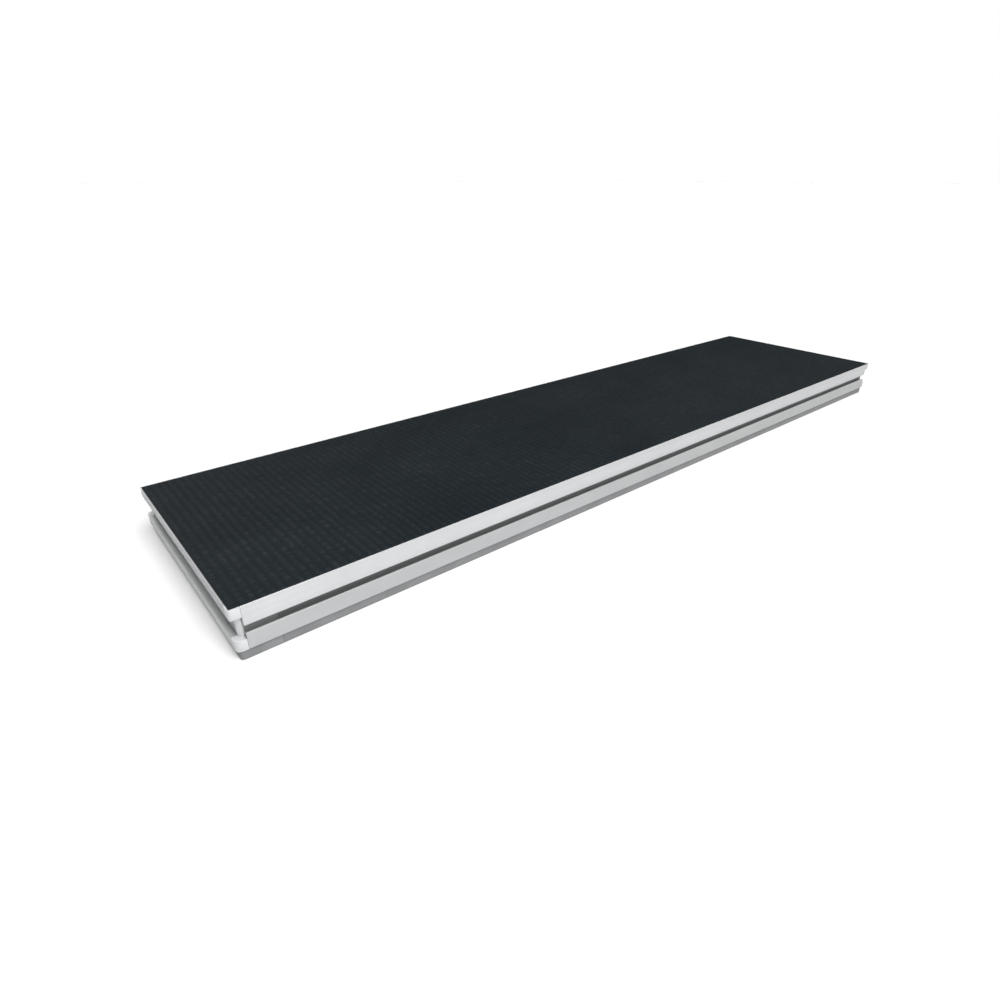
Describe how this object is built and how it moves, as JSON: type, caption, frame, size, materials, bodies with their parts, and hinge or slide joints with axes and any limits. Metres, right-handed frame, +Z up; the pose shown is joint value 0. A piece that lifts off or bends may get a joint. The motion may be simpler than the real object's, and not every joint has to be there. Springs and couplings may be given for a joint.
{
  "type": "platform deck",
  "caption": "Long narrow platform deck: dark ribbed panel set flush in a slotted aluminium frame, with cast corners, leg sockets and hand clamp screws underneath.",
  "frame": {"origin": "on the floor under the middle of the deck", "axes": "+X along the deck, +Y across it, +Z up"},
  "size_m": [2, 0.5, 0.093],
  "materials": {
    "extrusion": "natural mill finish, finely drawn lengthwise",
    "casting": "cast and blasted, satin",
    "steel": "bright zinc plated",
    "plywood": "birch plywood with a sealed face",
    "anti_slip": "fine ribs across the deck, satin anthracite",
    "edge_seal": "matte black",
    "skid": "mid-grey moulded, fine grain",
    "knob": "black moulded, fine grain"
  },
  "bodies": {
    "frame": {"rail_front": "extrusion", "upper_fascia_front": "extrusion", "slot_lip_front": "extrusion", "lower_fascia_front": "extrusion", "skid_front": "skid", "edge_seal_front": "edge_seal", "corner_bolt_front_1": "steel", "corner_bolt_front_2": "steel", "panel_screw_front_1": "steel", "panel_screw_front_2": "steel", "panel_screw_front_3": "steel", "panel_screw_front_4": "steel", "rail_right": "extrusion", "skid_right": "skid", "edge_seal_right": "edge_seal", "corner_bolt_right_1": "steel", "corner_bolt_right_2": "steel", "rail_back": "extrusion", "upper_fascia_back": "extrusion", "slot_lip_back": "extrusion", "lower_fascia_back": "extrusion", "skid_back": "skid", "edge_seal_back": "edge_seal", "corner_bolt_back_1": "steel", "corner_bolt_back_2": "steel", "panel_screw_back_1": "steel", "panel_screw_back_2": "steel", "panel_screw_back_3": "steel", "panel_screw_back_4": "steel", "rail_left": "extrusion", "skid_left": "skid", "edge_seal_left": "edge_seal", "corner_bolt_left_1": "steel", "corner_bolt_left_2": "steel", "corner_front_left": "casting", "corner_skid_front_left": "skid", "corner_front_right": "casting", "corner_skid_front_right": "skid", "corner_back_right": "casting", "corner_skid_back_right": "skid", "corner_back_left": "casting", "corner_skid_back_left": "skid", "cross_member_1": "extrusion", "cross_member_2": "extrusion", "cross_member_3": "extrusion", "panel_core": "plywood", "anti_slip_layer": "anti_slip"},
    "clamp_pad_front_left": {"clamp_pad_front_left": "steel"},
    "clamp_screw_front_left": {"clamp_screw_front_left": "steel", "clamp_knob_front_left": "knob"},
    "clamp_pad_front_right": {"clamp_pad_front_right": "steel"},
    "clamp_screw_front_right": {"clamp_screw_front_right": "steel", "clamp_knob_front_right": "knob"},
    "clamp_pad_back_right": {"clamp_pad_back_right": "steel"},
    "clamp_screw_back_right": {"clamp_screw_back_right": "steel", "clamp_knob_back_right": "knob"},
    "clamp_pad_back_left": {"clamp_pad_back_left": "steel"},
    "clamp_screw_back_left": {"clamp_screw_back_left": "steel", "clamp_knob_back_left": "knob"}
  },
  "joints": [
    {"name": "pad_slide_front_left", "type": "slide", "parent": "frame", "child": "clamp_pad_front_left", "axis": [-0.7071, -0.7071, 0], "range_m": [0, 0.00875]},
    {"name": "screw_turn_front_left", "type": "hinge", "parent": "clamp_pad_front_left", "child": "clamp_screw_front_left", "pos_m": [-0.96, -0.21, 0.047], "axis": [-0.7071, -0.7071, 0], "range_deg": [0, 1800]},
    {"name": "pad_slide_front_right", "type": "slide", "parent": "frame", "child": "clamp_pad_front_right", "axis": [0.7071, -0.7071, 0], "range_m": [0, 0.00875]},
    {"name": "screw_turn_front_right", "type": "hinge", "parent": "clamp_pad_front_right", "child": "clamp_screw_front_right", "pos_m": [0.96, -0.21, 0.047], "axis": [0.7071, -0.7071, 0], "range_deg": [0, 1800]},
    {"name": "pad_slide_back_right", "type": "slide", "parent": "frame", "child": "clamp_pad_back_right", "axis": [0.7071, 0.7071, 0], "range_m": [0, 0.00875]},
    {"name": "screw_turn_back_right", "type": "hinge", "parent": "clamp_pad_back_right", "child": "clamp_screw_back_right", "pos_m": [0.96, 0.21, 0.047], "axis": [0.7071, 0.7071, 0], "range_deg": [0, 1800]},
    {"name": "pad_slide_back_left", "type": "slide", "parent": "frame", "child": "clamp_pad_back_left", "axis": [-0.7071, 0.7071, 0], "range_m": [0, 0.00875]},
    {"name": "screw_turn_back_left", "type": "hinge", "parent": "clamp_pad_back_left", "child": "clamp_screw_back_left", "pos_m": [-0.96, 0.21, 0.047], "axis": [-0.7071, 0.7071, 0], "range_deg": [0, 1800]}
  ],
  "couplings": [
    {"joint": "pad_slide_front_left", "follows": "screw_turn_front_left", "m_per_rad": 0.0002785},
    {"joint": "pad_slide_front_right", "follows": "screw_turn_front_right", "m_per_rad": 0.0002785},
    {"joint": "pad_slide_back_right", "follows": "screw_turn_back_right", "m_per_rad": 0.0002785},
    {"joint": "pad_slide_back_left", "follows": "screw_turn_back_left", "m_per_rad": 0.0002785}
  ]
}
